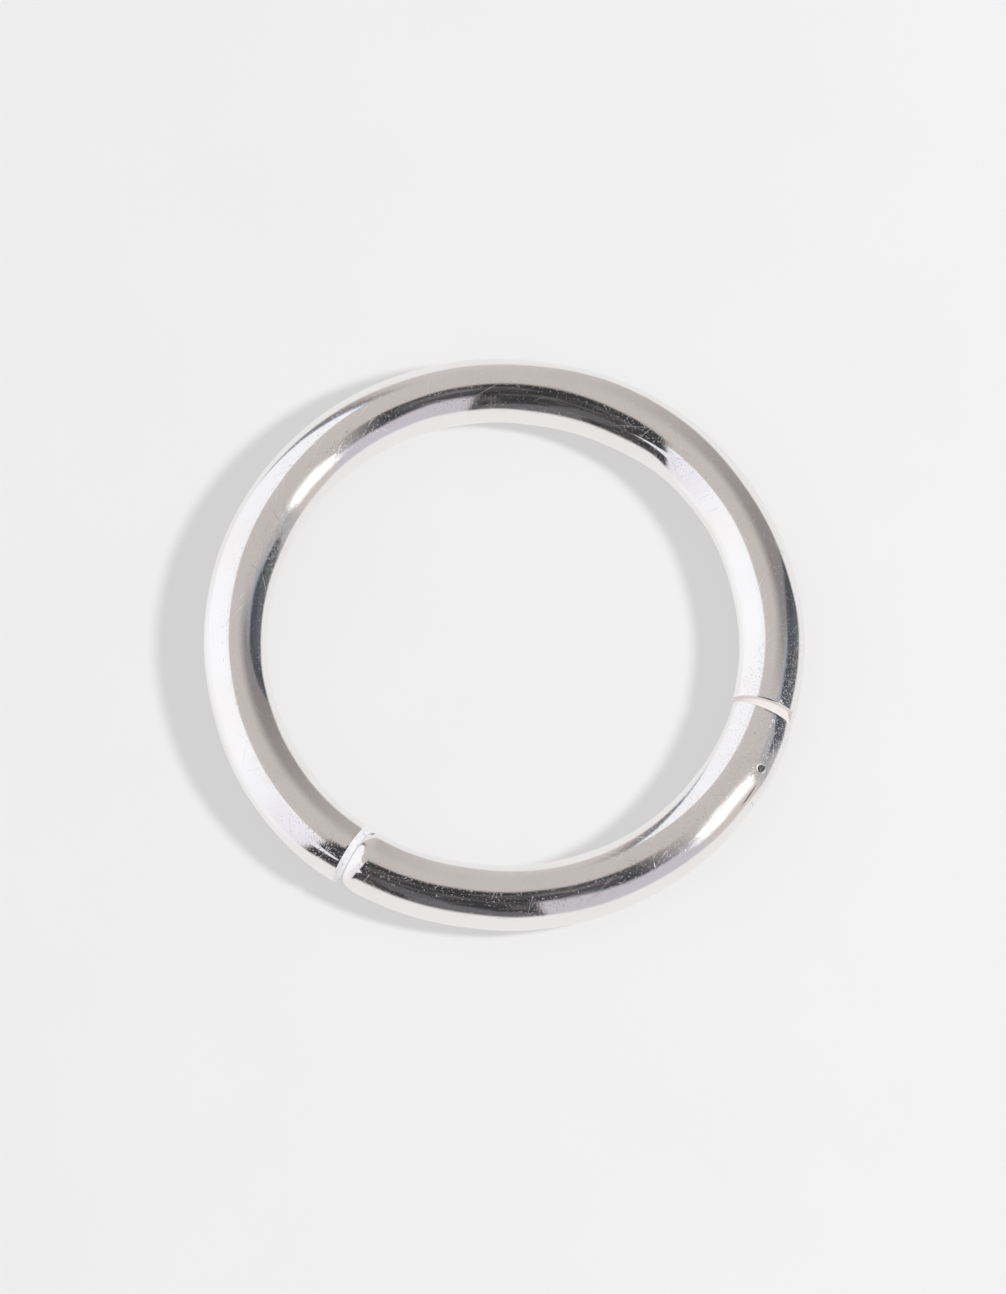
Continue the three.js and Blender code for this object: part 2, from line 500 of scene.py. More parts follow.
class Studio(bpy.types.PropertyGroup):
    """The camera and the lamp."""

    elevation: FloatProperty(
        name="Camera elevation",
        description="How steeply the camera looks down on the ring",
        default=math.radians(71.4),
        subtype="ANGLE",
    )
    distance: FloatProperty(
        name="Camera distance",
        description="From the camera to the middle of the ring",
        default=0.4,
        unit="LENGTH",
    )
    frame_height: FloatProperty(
        name="Frame height",
        description="Height of what the camera sees at the ring",
        default=26.04 * MM,
        unit="LENGTH",
        precision=5,
    )
    aim_right: FloatProperty(
        name="Aim right",
        description="How far right of the ring's middle the camera aims",
        default=-0.017 * MM,
        unit="LENGTH",
        precision=6,
    )
    aim_up: FloatProperty(
        name="Aim up",
        description="How far above the ring's middle the camera aims",
        default=-0.074 * MM,
        unit="LENGTH",
        precision=6,
    )
    key_azimuth: FloatProperty(
        name="Key azimuth",
        description="Where round the ring the lamp stands that casts the shadow",
        default=math.radians(353),
        subtype="ANGLE",
    )
    key_elevation: FloatProperty(
        name="Key elevation",
        description="How high the lamp stands",
        default=math.radians(44),
        subtype="ANGLE",
    )
    key_power: FloatProperty(
        name="Key power",
        description="Power of the lamp, in watts",
        default=0.24,
    )


def point_on_ring(angle, outward=0.0, height=0.0):
    """The point at an angle, so far outward of the wire's middle and so far above it."""
    sizes = bpy.context.scene.ring_sizes
    reach = sizes.ring_radius + outward
    return Vector((reach * math.cos(angle), reach * math.sin(angle), sizes.wire_radius + height))


def along_ring(angle):
    """The direction along the wire at an angle, towards greater angles."""
    return Vector((-math.sin(angle), math.cos(angle), 0.0))


def angle_of(point):
    """The angle of a point round the ring, from 0 to a full turn."""
    return math.atan2(point.y, point.x) % math.tau


def hinge_seam():
    hinge = bpy.context.scene.ring_hinge
    return Seam(hinge.seam_angle, hinge.seam_lean, hinge.seam_gap)


def catch_seam():
    catch = bpy.context.scene.ring_catch
    return Seam(catch.seam_angle, catch.seam_lean, catch.seam_gap)


def start_fresh():
    """Leaves edit mode and deselects everything, before a new primitive is added."""
    if bpy.context.object and bpy.context.object.mode != "OBJECT":
        bpy.ops.object.mode_set(mode="OBJECT")
    bpy.ops.object.select_all(action="DESELECT")


def name_new(name):
    """Names the primitive that was just added, and applies its place to its mesh."""
    piece = bpy.context.object
    piece.name = name
    piece.data.name = name
    bpy.ops.object.transform_apply(location=True, rotation=True, scale=True)
    return piece


def edit(piece):
    """Opens one piece in edit mode, with nothing of it selected."""
    start_fresh()
    piece.select_set(True)
    bpy.context.view_layer.objects.active = piece
    bpy.ops.object.mode_set(mode="EDIT")
    bpy.ops.mesh.select_mode(type="VERT")
    bpy.ops.mesh.select_all(action="DESELECT")


def select_points(piece, test):
    """Selects the points of the piece in edit mode whose place passes a test, and no others."""
    bpy.ops.mesh.select_all(action="DESELECT")
    mesh = bmesh.from_edit_mesh(piece.data)
    for vertex in mesh.verts:
        vertex.select = test(vertex.co)
    mesh.select_flush_mode()
    bmesh.update_edit_mesh(piece.data)


def unevenness_at(azimuth):
    """How much further than its radius the wire stands out where its side faces an azimuth."""
    degrees = math.degrees(azimuth) % 360
    after = UNEVENNESS + (Unevenness(UNEVENNESS[0].azimuth + 360, UNEVENNESS[0].growth),)
    if degrees < UNEVENNESS[0].azimuth:
        degrees += 360
    for here, there in zip(UNEVENNESS, after[1:]):
        if here.azimuth <= degrees <= there.azimuth:
            share = smooth_rise(degrees, here.azimuth, there.azimuth)
            growth = here.growth + (there.growth - here.growth) * share
            return growth * MM / 100
    raise ValueError(f"no unevenness is given at {degrees} degrees")


def make_uneven(piece):
    """Gives a bent wire the slight unevenness of hand work on both its sides."""
    sizes = bpy.context.scene.ring_sizes
    for vertex in piece.data.vertices:
        place = vertex.co
        angle = angle_of(place)
        outward = place.xy.length - sizes.ring_radius
        if outward > 0:
            growth = unevenness_at(angle)
        else:
            growth = -unevenness_at(angle + math.pi)
        grown = outward * (1 + growth / sizes.wire_radius)
        vertex.co = point_on_ring(angle, grown, place.z - sizes.wire_radius)


def spin_wire(name, start, end):
    """Round wire bent round the ring from one angle to another, still open at both ends."""
    sizes = bpy.context.scene.ring_sizes
    start_fresh()
    bpy.ops.mesh.primitive_circle_add(
        vertices=sizes.sides,
        radius=sizes.wire_radius,
        location=point_on_ring(start),
        rotation=(math.pi / 2, 0.0, start),
    )
    wire = name_new(name)
    edit(wire)
    bpy.ops.mesh.select_all(action="SELECT")
    bpy.ops.mesh.spin(
        steps=round((end - start) / sizes.step),
        angle=start - end,
        center=(0.0, 0.0, 0.0),
        axis=UP,
    )
    bpy.ops.object.mode_set(mode="OBJECT")
    return wire


def close_end(wire, end):
    """Cuts an open end of a wire off at its seam, turns its rim over and closes it."""
    sizes = bpy.context.scene.ring_sizes
    reach = 3 * sizes.wire_radius
    middle = point_on_ring(end.seam.angle)
    square = along_ring(end.seam.angle)
    out = Matrix.Rotation(end.seam.lean, 3, "Z") @ square * -end.side
    cut = Matrix.Rotation(end.turn, 3, "Z") @ out
    rim_start = middle - out * (end.seam.gap / 2 + end.rim)
    edit(wire)
    select_points(wire, lambda place: (place - middle).length < reach)
    bpy.ops.mesh.bisect(plane_co=rim_start, plane_no=cut, clear_outer=True, threshold=SPECK)
    select_points(
        wire,
        lambda place: (place - middle).length < reach and (place - rim_start).dot(cut) > -HAIR,
    )
    radius, forward = sizes.wire_radius, 0.0
    for step in range(1, end.steps + 1):
        turn = math.pi / 2 * step / end.steps
        next_radius = sizes.wire_radius - end.depth * (1 - math.cos(turn))
        next_forward = end.rim * math.sin(turn)
        move = out * (next_forward - forward)
        bpy.ops.mesh.extrude_region_move(TRANSFORM_OT_translate={"value": move})
        share = next_radius / radius
        bpy.ops.transform.resize(
            value=(share, share, share),
            center_override=rim_start + out * next_forward,
        )
        radius, forward = next_radius, next_forward
    flatten_end(wire, rim_start + out * forward, out)
    bpy.ops.mesh.edge_face_add()
    bpy.ops.mesh.inset(thickness=END_INSET)
    bpy.ops.mesh.select_all(action="SELECT")
    bpy.ops.mesh.normals_make_consistent(inside=False)
    bpy.ops.object.mode_set(mode="OBJECT")


def flatten_end(wire, place, out):
    """Slides the selected points of a wire's end along it until they lie on the plane of its face."""
    mesh = bmesh.from_edit_mesh(wire.data)
    for vertex in mesh.verts:
        if vertex.select:
            vertex.co += out * (place - vertex.co).dot(out)
    bmesh.update_edit_mesh(wire.data)


def swell_outward(piece, growth_at):
    """Widens the outer half of a bent wire by the length that growth_at gives for each angle."""
    sizes = bpy.context.scene.ring_sizes
    for vertex in piece.data.vertices:
        place = vertex.co
        angle = angle_of(place)
        outward = place.xy.length - sizes.ring_radius
        if outward > 0:
            outward *= 1 + growth_at(angle) / sizes.wire_radius
            vertex.co = point_on_ring(angle, outward, place.z - sizes.wire_radius)


def hinge_swell(angle):
    """How far the hinge stands out on its outer side at an angle."""
    start, full, full_to, end = (math.radians(degrees) for degrees in SWELL)
    rise = smooth_rise(angle, start, full)
    fall = smooth_rise(angle, full_to, end)
    return bpy.context.scene.ring_hinge.swell * (rise - fall)


def smooth_rise(value, start, end):
    """0 before start, 1 after end and smooth in between."""
    share = min(max((value - start) / (end - start), 0.0), 1.0)
    return share * share * (3 - 2 * share)


def add_block(name, angle, outward, size):
    """A block with its X outward, its Y along the ring and its Z up, centred on a point of the ring."""
    start_fresh()
    bpy.ops.mesh.primitive_cube_add(
        size=1.0,
        location=point_on_ring(angle, outward),
        rotation=(0.0, 0.0, angle),
        scale=size,
    )
    return name_new(name)


def add_rod(name, radius):
    """An upright round rod on the hinge's axis, longer than the wire is thick."""
    start_fresh()
    bpy.ops.mesh.primitive_cylinder_add(
        vertices=ROD_SIDES,
        radius=radius,
        depth=CUTTER_REACH,
        location=HINGE,
    )
    return name_new(name)


def top_of_wire(angle, outward):
    """How high above its middle the wire's surface is, at an angle and an offset."""
    half_width = bpy.context.scene.ring_sizes.wire_radius
    if outward > 0:
        half_width += hinge_swell(angle) + unevenness_at(angle)
    return bpy.context.scene.ring_sizes.wire_radius * math.sqrt(1 - (outward / half_width) ** 2)


def cut_nicks(piece, nicks):
    """Dents the top of a wire with small round nicks."""
    tools = []
    for nick in nicks:
        angle, outward, size = math.radians(nick.angle), nick.outward * MM, nick.size * MM
        surface = point_on_ring(angle, outward, top_of_wire(angle, outward))
        normal = (surface - point_on_ring(angle)).normalized()
        start_fresh()
        bpy.ops.mesh.primitive_uv_sphere_add(
            segments=NICK_SIDES,
            ring_count=NICK_SIDES // 2,
            radius=size,
            location=surface + normal * size * NICK_LIFT,
        )
        tools.append(name_new("nick"))
    start_fresh()
    for tool in tools:
        tool.select_set(True)
    bpy.context.view_layer.objects.active = tools[0]
    bpy.ops.object.join()
    combine(piece, tools[0], "DIFFERENCE")


def is_filed(place, normal, limit):
    """Whether a face is one that a file left: an end, its rim past a slope, or a slot's wall."""
    sizes = bpy.context.scene.ring_sizes
    slope = abs(normal.dot(along_ring(angle_of(place))))
    in_slot = abs(place.z - sizes.wire_radius) < SLOT_REACH and abs(normal.z) > END_SLOPE
    return slope > limit or in_slot


def file_faces(piece, limit_at):
    """Gives the filed faces the second material. A rim counts from the slope limit at its angle."""
    for face in piece.data.polygons:
        if is_filed(face.center, face.normal, limit_at(angle_of(face.center))):
            face.material_index = 1


def combine(piece, tool, operation):
    """Joins a tool to a piece or cuts it away, and removes the tool."""
    start_fresh()
    piece.select_set(True)
    bpy.context.view_layer.objects.active = piece
    modifier = piece.modifiers.new(operation.lower(), "BOOLEAN")
    modifier.operation = operation
    modifier.object = tool
    modifier.solver = "EXACT"
    bpy.ops.object.modifier_apply(modifier=modifier.name)
    bpy.data.meshes.remove(tool.data)


def finish_piece(piece, body, node, slot, *materials):
    """Smooths a piece's shading, dresses it, and lets it stand for its CAD node."""
    start_fresh()
    piece.select_set(True)
    bpy.context.view_layer.objects.active = piece
    bpy.ops.object.shade_smooth_by_angle(angle=SHARP_EDGE)
    piece.data.materials.clear()
    for material in materials:
        piece.data.materials.append(material)
    # The charted room already holds what the metal mirrors of itself, and polished silver throws
    # about as much light on the paper beside it as it takes away.
    piece.visible_glossy = False
    piece.visible_diffuse = False
    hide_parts(node)
    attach(piece, body)


def number(tree, operation, *values, clamp=False):
    """The result of a Math node whose inputs are numbers or other nodes' outputs."""
    node = tree.nodes.new("ShaderNodeMath")
    node.operation = operation
    node.use_clamp = clamp
    for socket, value in zip(node.inputs, values):
        connect(tree, socket, value)
    return node.outputs["Value"]


def connect(tree, socket, value):
    """Links an output to a socket, or sets the socket to a plain value."""
    if isinstance(value, bpy.types.NodeSocket):
        tree.links.new(value, socket)
    else:
        socket.default_value = value


def blend_colours(tree, share, under, over):
    """Two colours mixed by a share from 0 to 1."""
    node = tree.nodes.new("ShaderNodeMix")
    node.data_type = "RGBA"
    connect(tree, node.inputs["Factor"], share)
    connect(tree, node.inputs["A"], under)
    connect(tree, node.inputs["B"], over)
    return node.outputs["Result"]


def soft_step(tree, value, start, end):
    """0 up to one value, 1 from another and smooth in between."""
    node = tree.nodes.new("ShaderNodeMapRange")
    node.interpolation_type = "SMOOTHSTEP"
    connect(tree, node.inputs["Value"], value)
    connect(tree, node.inputs["From Min"], start)
    connect(tree, node.inputs["From Max"], end)
    return node.outputs["Result"]


def noise(tree, place, scale, detail=2.0, roughness=0.5):
    """A noise texture's grey value at a place."""
    node = tree.nodes.new("ShaderNodeTexNoise")
    node.inputs["Scale"].default_value = scale
    node.inputs["Detail"].default_value = detail
    node.inputs["Roughness"].default_value = roughness
    tree.links.new(place, node.inputs["Vector"])
    return node.outputs["Fac"]


def screen_colour(red, green, blue):
    """A colour as the screen shows it, from 0 to 255, as linear light."""
    def linear(value):
        share = value / 255
        return share / 12.92 if share <= 0.04045 else ((share + 0.055) / 1.055) ** 2.4
    return (linear(red), linear(green), linear(blue), 1.0)


def new_material(name):
    """A new node material, its tree and its shader."""
    material = bpy.data.materials.new(name)
    material.use_nodes = True
    return material, material.node_tree, material.node_tree.nodes["Principled BSDF"]


# The silver is patterned in straightened wire, in millimetres: X runs along the wire and is 0
# opposite the catch seam, Y is outward from the middle of the wire and Z is up.
def straightened_wire(tree):
    """The place on the wire as if it were straight, and its parts along and outward."""
    sizes = bpy.context.scene.ring_sizes
    coordinates = tree.nodes.new("ShaderNodeTexCoord")
    turned = tree.nodes.new("ShaderNodeVectorRotate")
    turned.rotation_type = "Z_AXIS"
    turned.inputs["Angle"].default_value = math.pi - bpy.context.scene.ring_catch.seam_angle
    tree.links.new(coordinates.outputs["Object"], turned.inputs["Vector"])
    parts = tree.nodes.new("ShaderNodeSeparateXYZ")
    tree.links.new(turned.outputs["Vector"], parts.inputs["Vector"])
    x, y, z = parts.outputs
    angle = number(tree, "ARCTAN2", y, x)
    reach = number(tree, "SQRT", number(tree, "ADD", number(tree, "MULTIPLY", x, x),
                                        number(tree, "MULTIPLY", y, y)))
    along = number(tree, "MULTIPLY", angle, sizes.ring_radius / MM)
    outward = number(tree, "MULTIPLY_ADD", reach, 1 / MM, -sizes.ring_radius / MM)
    height = number(tree, "MULTIPLY_ADD", z, 1 / MM, -sizes.wire_radius / MM)
    place = tree.nodes.new("ShaderNodeCombineXYZ")
    for socket, value in zip(place.inputs, (along, outward, height)):
        tree.links.new(value, socket)
    return place.outputs["Vector"], along, outward


def stretched(tree, place, x, y, z):
    """A place scaled by a factor along each axis, to draw a pattern out."""
    node = tree.nodes.new("ShaderNodeVectorMath")
    node.operation = "MULTIPLY"
    tree.links.new(place, node.inputs[0])
    node.inputs[1].default_value = (x, y, z)
    return node.outputs["Vector"]


def silver_material(name, grind=0.0):
    """Polished silver with fine pits, polishing lines, faint stains, and dark spots of grime and painted
    shade at the seams. Grind roughens it.
    """
    finish = bpy.context.scene.ring_finish
    material, tree, shader = new_material(name)
    place, along, outward = straightened_wire(tree)
    shader.inputs["Metallic"].default_value = 1.0

    stain = soft_step(tree, noise(tree, place, 0.9, 3.0), 0.45, 0.7)
    stain = number(tree, "MULTIPLY", stain, 0.6)
    colour = blend_colours(tree, stain, (*finish.silver, 1.0), (*finish.tarnish, 1.0))
    # Dark spots of grime and painted shade: they darken the seam's gap, the slot's end and the catch's
    # notch
    for spot in GRIME_AND_SHADE:
        grime_and_shade_share = number(tree, "MULTIPLY", patch(tree, along, spot.along, spot.length),
                       patch(tree, outward, spot.outward, spot.width))
        grime_and_shade_share = number(tree, "MULTIPLY", grime_and_shade_share, GRIME_AND_SHADE_COVER, clamp=True)
        colour = blend_colours(tree, grime_and_shade_share, colour, (*finish.grime_and_shade, 1.0))
    tree.links.new(colour, shader.inputs["Base Color"])

    scuffed = number(tree, "ADD", patch(tree, along, HINGE_END, 2.4),
                     number(tree, "MULTIPLY", patch(tree, along, ROUGH_INSIDE, 1.6),
                            soft_step(tree, outward, 0.0, -0.3)))
    pits = soft_step(tree, noise(tree, place, 24.0, 1.0), 0.63, 0.72)
    specks = soft_step(tree, noise(tree, place, 30.0, 2.0, 0.7), 0.6, 0.68)
    lines = noise(tree, stretched(tree, place, 1.2, 60.0, 60.0), 1.0, 2.0)
    grain = noise(tree, stretched(tree, place, 34.0, 5.0, 5.0), 1.0, 3.0)
    cloudy = soft_step(tree, noise(tree, place, 1.6, 2.0), 0.4, 0.75)
    rough = number(tree, "MULTIPLY_ADD", cloudy, 0.035, 0.05 + grind)
    rough = number(tree, "MULTIPLY_ADD", pits, 0.1, rough)
    tree.links.new(rough, shader.inputs["Roughness"])

    relief = number(tree, "MULTIPLY", noise(tree, place, 0.8, 1.0), 6.0)
    relief = number(tree, "MULTIPLY_ADD", lines, 0.12, relief)
    relief = number(tree, "MULTIPLY_ADD", grain, 0.35, relief)
    relief = number(tree, "MULTIPLY_ADD", pits, -0.9, relief)
    relief = number(tree, "MULTIPLY_ADD", number(tree, "MULTIPLY", specks, scuffed), -3.5, relief)
    glitter = soft_step(tree, noise(tree, place, 26.0, 1.0), 0.7, 0.76)
    on_crest = patch(tree, outward, 0.14, 0.3)
    relief = number(tree, "MULTIPLY_ADD", number(tree, "MULTIPLY", glitter, on_crest), -8.0, relief)
    for turn, threshold in SCRATCHES:
        relief = number(tree, "MULTIPLY_ADD", scratch(tree, place, turn, threshold), -1.0, relief)
    raise_surface(tree, shader, relief)
    return material


def scratch(tree, place, turn, threshold):
    """Sparse straight scratches that run at an angle to the wire."""
    turned = tree.nodes.new("ShaderNodeVectorRotate")
    turned.rotation_type = "Z_AXIS"
    turned.inputs["Angle"].default_value = math.radians(turn)
    tree.links.new(place, turned.inputs["Vector"])
    drawn = noise(tree, stretched(tree, turned.outputs["Vector"], 0.8, 22.0, 1.0), 1.0, 1.0)
    return soft_step(tree, drawn, threshold, threshold + 0.03)


def filed_material():
    """Silver as a fine file leaves it, dull and a little pink."""
    material, tree, shader = new_material("filed_silver")
    place, along, outward = straightened_wire(tree)
    satin = bpy.context.scene.ring_finish.satin
    shader.inputs["Metallic"].default_value = 0.1
    pink = patch(tree, along, HINGE_END, 4.0)
    colour = blend_colours(tree, pink, (*FILED_GREY, 1.0), (*satin, 1.0))
    smudge = soft_step(tree, noise(tree, place, 13.0, 4.0, 0.65), 0.45, 0.75)
    smudge = number(tree, "MULTIPLY", smudge, number(tree, "MULTIPLY_ADD", pink, -0.4, 0.6))
    colour = blend_colours(tree, smudge, colour, (*SMUDGE_GREY, 1.0))
    tree.links.new(colour, shader.inputs["Base Color"])
    rough = number(tree, "MULTIPLY_ADD", noise(tree, place, 15.0), 0.16, 0.3)
    tree.links.new(rough, shader.inputs["Roughness"])
    strokes = noise(tree, stretched(tree, place, 50.0, 9.0, 9.0), 1.0, 2.0)
    raise_surface(tree, shader, number(tree, "MULTIPLY", strokes, 1.2))
    return material


def raise_surface(tree, shader, relief, unit=0.001 * MM, strength=1.0):
    """Bumps a shader's surface by a relief, in thousandths of a millimetre or another unit."""
    bump = tree.nodes.new("ShaderNodeBump")
    bump.inputs["Strength"].default_value = strength
    bump.inputs["Distance"].default_value = unit
    tree.links.new(relief, bump.inputs["Height"])
    tree.links.new(bump.outputs["Normal"], shader.inputs["Normal"])


def patch(tree, value, middle, reach):
    """1 where a value is at the middle of a patch, 0 from its reach on."""
    away = number(tree, "ABSOLUTE", number(tree, "SUBTRACT", value, middle))
    return soft_step(tree, away, reach, 0.0)


def paper_material():
    """Pale paper with a faint tooth."""
    finish = bpy.context.scene.ring_finish
    material, tree, shader = new_material("pale_paper")
    coordinates = tree.nodes.new("ShaderNodeTexCoord")
    place = coordinates.outputs["Object"]
    tooth = noise(tree, place, 900.0, 4.0, 0.6)
    mottle = noise(tree, place, 260.0, 2.0)
    shade = number(tree, "MULTIPLY", soft_step(tree, mottle, 0.3, 0.7), 0.5)
    darker = tuple(channel * 0.985 for channel in finish.paper)
    colour = blend_colours(tree, shade, (*finish.paper, 1.0), (*darker, 1.0))
    tree.links.new(colour, shader.inputs["Base Color"])
    shader.inputs["Roughness"].default_value = 0.9
    shader.inputs["Specular IOR Level"].default_value = 0.1
    raise_surface(tree, shader, tooth, 0.02 * MM, 0.6)
    return material


def charted_line(tree, away, middle, line):
    """The tilt of a line through points of azimuth and tilt, or a plain tilt as it is."""
    if isinstance(line, (int, float)):
        return line
    node = tree.nodes.new("ShaderNodeFloatCurve")
    curve = node.mapping.curves[0]
    turned = sorted(((azimuth - middle + 180) % 360 / 360, tilt / 90) for azimuth, tilt in line)
    while len(curve.points) < len(turned):
        curve.points.new(0.5, 0.5)
    for point, place in zip(curve.points, turned):
        point.location = place
        point.handle_type = "AUTO_CLAMPED"
    node.mapping.update()
    tree.links.new(number(tree, "MULTIPLY_ADD", away, 1 / 360, 0.5), node.inputs["Value"])
    return number(tree, "MULTIPLY", node.outputs["Value"], 90.0)


def side_edge(tree, tilt, edge, panel, middle):
    """How far from the panel's middle a side edge is, at a tilt."""
    slope = (edge[1] - edge[0]) / (panel.lean[1] - panel.lean[0])
    return number(tree, "MULTIPLY_ADD", tilt, slope, edge[0] - middle - slope * panel.lean[0])


def add_mirrored(tree, azimuth, tilt, streaks, fray, under, panel):
    """Lays one soft-edged panel over what is behind it, and gives the new colour."""
    middle = sum(panel.left + panel.right) / 4
    away = number(tree, "WRAP", number(tree, "SUBTRACT", azimuth, middle), 180.0, -180.0)
    inside = (
        number(tree, "SUBTRACT", away, side_edge(tree, tilt, panel.left, panel, middle)),
        number(tree, "SUBTRACT", side_edge(tree, tilt, panel.right, panel, middle), away),
        number(tree, "SUBTRACT", tilt, charted_line(tree, away, middle, panel.top)),
        number(tree, "SUBTRACT", charted_line(tree, away, middle, panel.bottom), tilt),
    )
    share = panel.share
    for distance, soft in zip(inside, panel.soft):
        if panel.grain:
            distance = number(tree, "MULTIPLY_ADD", fray, FRAYING * panel.grain, distance)
        edge = soft_step(tree, distance, -soft / 2, soft / 2)
        share = number(tree, "MULTIPLY", edge, share)
    if panel.grain and panel.glow == 1:
        kept = number(tree, "MULTIPLY_ADD", streaks, -panel.grain, 1.0, clamp=True)
        share = number(tree, "MULTIPLY", share, kept)
    over = [channel * panel.glow for channel in screen_colour(*panel.colour)]
    return blend_colours(tree, share, under, over)


def make_surroundings(towards_camera):
    """The studio round the ring as its metal mirrors it, and a plain pale backdrop."""
    world = bpy.data.worlds.new("studio")
    bpy.context.scene.world = world
    world.use_nodes = True
    tree = world.node_tree
    tree.nodes.remove(tree.nodes["Background"])

    direction = tree.nodes.new("ShaderNodeTexCoord").outputs["Generated"]
    half_way = tree.nodes.new("ShaderNodeVectorMath")
    half_way.operation = "ADD"
    half_way.inputs[1].default_value = towards_camera
    tree.links.new(direction, half_way.inputs[0])
    facing = tree.nodes.new("ShaderNodeVectorMath")
    facing.operation = "NORMALIZE"
    tree.links.new(half_way.outputs["Vector"], facing.inputs[0])
    parts = tree.nodes.new("ShaderNodeSeparateXYZ")
    tree.links.new(facing.outputs["Vector"], parts.inputs["Vector"])
    x, y, z = parts.outputs
    azimuth = number(tree, "DEGREES", number(tree, "ARCTAN2", y, x))
    tilt = number(tree, "DEGREES", number(tree, "ARCCOSINE", z))

    streaks = soft_step(tree, noise(tree, facing.outputs["Vector"], 14.0, 5.0, 0.65), 0.45, 0.7)
    place = tree.nodes.new("ShaderNodeCombineXYZ")
    tree.links.new(number(tree, "MULTIPLY", azimuth, 0.9), place.inputs["X"])
    tree.links.new(number(tree, "MULTIPLY", tilt, 0.11), place.inputs["Y"])
    fray = number(tree, "SUBTRACT", noise(tree, place.outputs["Vector"], 1.0, 4.0, 0.7), 0.5)
    colour = screen_colour(*ROOM)
    for panel in MIRRORED:
        colour = add_mirrored(tree, azimuth, tilt, streaks, fray, colour, panel)

    room = background(tree, colour, ROOM_LIGHT)
    backdrop = background(tree, screen_colour(*BACKDROP), 1.0)
    towards_ceiling = tree.nodes.new("ShaderNodeVectorMath")
    towards_ceiling.operation = "DOT_PRODUCT"
    towards_ceiling.inputs[1].default_value = CEILING
    tree.links.new(direction, towards_ceiling.inputs[0])
    lit = soft_step(tree, towards_ceiling.outputs["Value"], CEILING_START, CEILING_FULL)
    sky = blend_colours(tree, lit, screen_colour(*DIM_SKY), screen_colour(*BRIGHT_SKY))
    ambient = background(tree, sky, SKY_LIGHT)
    rays = tree.nodes.new("ShaderNodeLightPath")
    seen = switch(tree, rays.outputs["Is Camera Ray"], ambient, backdrop)
    seen = switch(tree, rays.outputs["Is Glossy Ray"], seen, room)
    tree.links.new(seen, tree.nodes["World Output"].inputs["Surface"])


def background(tree, colour, strength):
    """A plain background shader."""
    node = tree.nodes.new("ShaderNodeBackground")
    connect(tree, node.inputs["Color"], colour)
    node.inputs["Strength"].default_value = strength
    return node.outputs["Background"]


def switch(tree, chosen, otherwise, shader):
    """One shader for the rays that are chosen, and another for the rest."""
    node = tree.nodes.new("ShaderNodeMixShader")
    tree.links.new(chosen, node.inputs["Fac"])
    tree.links.new(otherwise, node.inputs[1])
    tree.links.new(shader, node.inputs[2])
    return node.outputs["Shader"]


def add_lamp(name, power, azimuth, elevation):
    """A round lamp aimed at the ring from a direction."""
    start_fresh()
    level = math.cos(elevation)
    back = Vector((math.cos(azimuth) * level, math.sin(azimuth) * level, math.sin(elevation)))
    bpy.ops.object.light_add(
        type="AREA",
        location=back * LAMP_DISTANCE,
        rotation=back.to_track_quat("Z", "Y").to_euler(),
    )
    lamp = bpy.context.object
    lamp.name = name
    lamp.data.name = name
    lamp.data.shape = "DISK"
    lamp.data.size = LAMP_SIZE
    lamp.data.energy = power
    return lamp


def make_camera():
    """The camera at the photograph's angle, and the direction from the ring towards it."""
    studio = bpy.context.scene.ring_studio
    sizes = bpy.context.scene.ring_sizes
    towards = Vector((0.0, -math.cos(studio.elevation), math.sin(studio.elevation)))
    start_fresh()
    camera_up = Vector((0.0, math.sin(studio.elevation), math.cos(studio.elevation)))
    aim = Vector((studio.aim_right, 0.0, sizes.wire_radius)) + camera_up * studio.aim_up
    bpy.ops.object.camera_add(
        location=aim + towards * studio.distance,
        rotation=towards.to_track_quat("Z", "Y").to_euler(),
    )
    camera = bpy.context.object
    camera.name = "camera"
    camera.data.sensor_width = 36.0
    camera.data.lens = camera.data.sensor_width * studio.distance / studio.frame_height
    camera.data.clip_start = 0.01
    camera.data.clip_end = 2.0
    bpy.context.scene.camera = camera
    return towards


class RING_OT_stage(bpy.types.Operator):
    """Lays the paper and sets up the camera, the lamp and what the metal mirrors"""

    bl_idname = "ring.stage"
    bl_label = "Stage"

    def execute(self, context):
        studio = context.scene.ring_studio
        towards_camera = make_camera()
        start_fresh()
        bpy.ops.mesh.primitive_plane_add(size=PAPER_SIZE, location=(0.0, 0.0, 0.0))
        paper = name_new("paper")
        paper.data.materials.append(paper_material())
        make_surroundings(towards_camera)
        paper.visible_glossy = False
        key = add_lamp("key", studio.key_power, studio.key_azimuth, studio.key_elevation)
        key.visible_glossy = False
        context.scene.view_settings.view_transform = "Standard"
        return {"FINISHED"}


